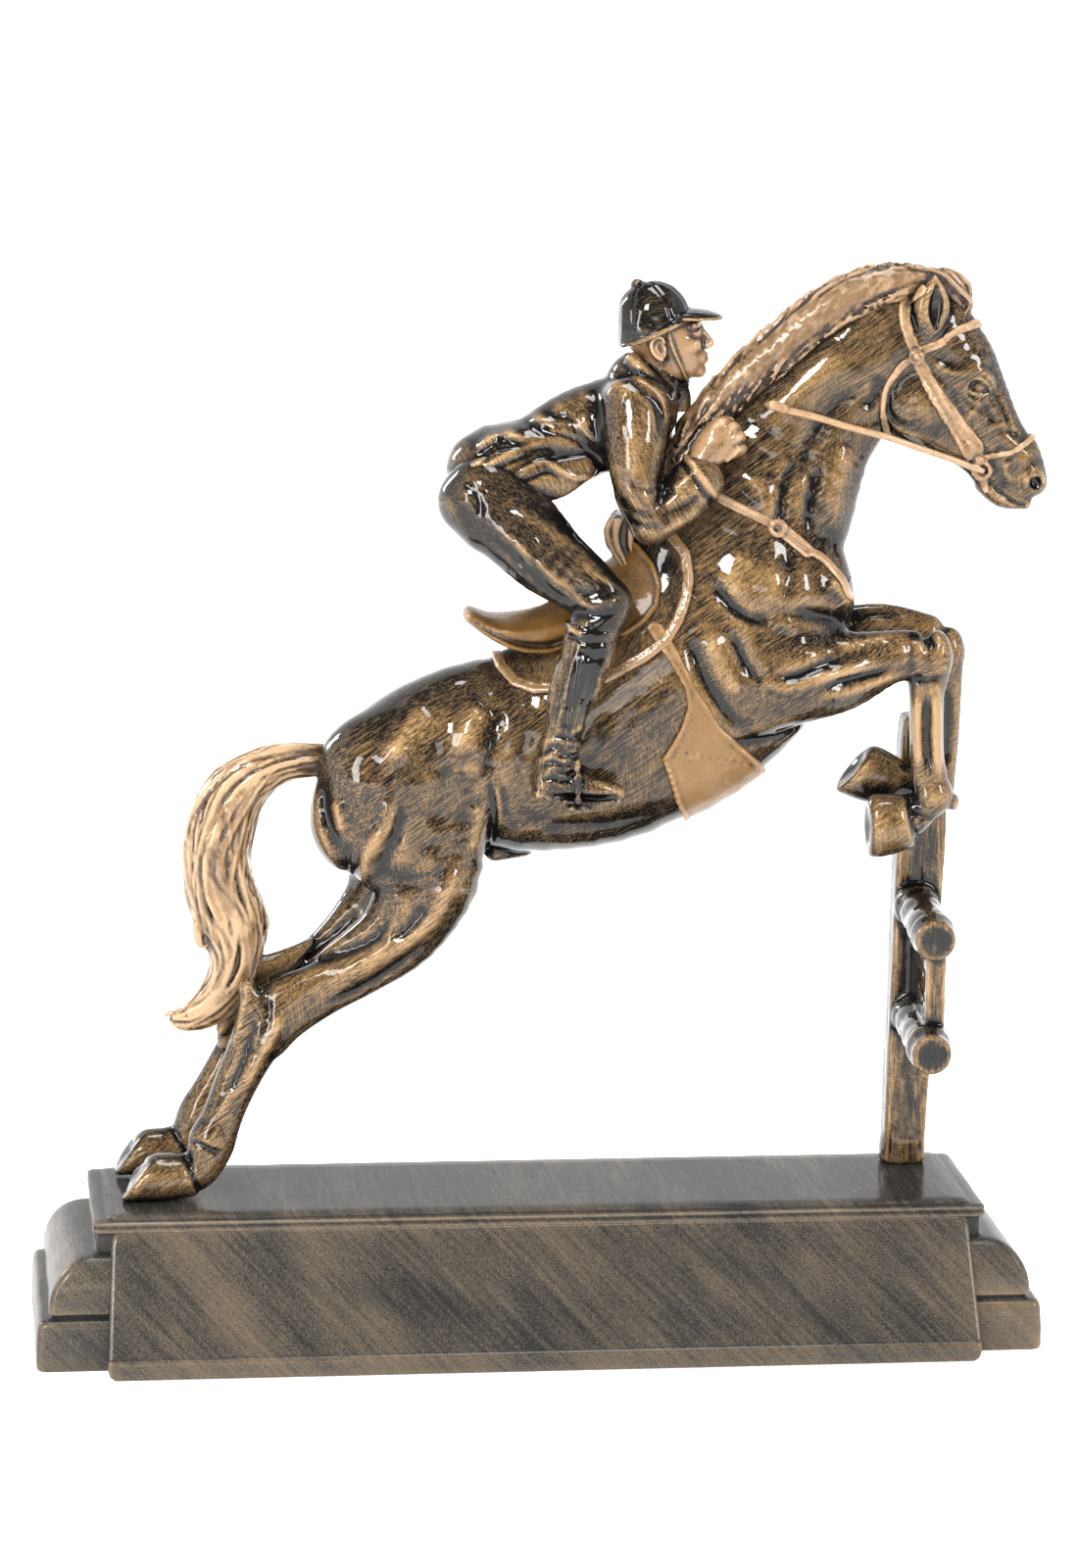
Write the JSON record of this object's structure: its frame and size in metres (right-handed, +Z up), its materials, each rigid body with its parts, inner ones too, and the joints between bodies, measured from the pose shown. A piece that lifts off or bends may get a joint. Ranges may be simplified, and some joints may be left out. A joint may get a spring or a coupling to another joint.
{
  "type": "equestrian trophy",
  "caption": "Show-jumping award: horse and rider in mid leap over a short rail fence, on a stepped plinth with a sloping blank name panel.",
  "frame": {"origin": "middle of the lowest step of the plinth, on its underside", "axes": "+X along the plinth, the way the horse jumps; -Y towards the side with the name panel; +Z up"},
  "size_m": [0.1984, 0.0565, 0.2124],
  "materials": {
    "figure_bronze": "dark bronze paint brushed with light gold-brown, light gold on the mane, tail and tack, clear gloss coat",
    "fence_bronze": "dark bronze paint brushed with gold-brown, clear gloss coat",
    "plinth_bronze": "dark bronze paint with slanting gold-brown brush strokes, clear gloss coat"
  },
  "bodies": {
    "root": {"horse_and_rider": "figure_bronze", "rail_fence": "fence_bronze", "plinth": "plinth_bronze"}
  },
  "joints": []
}
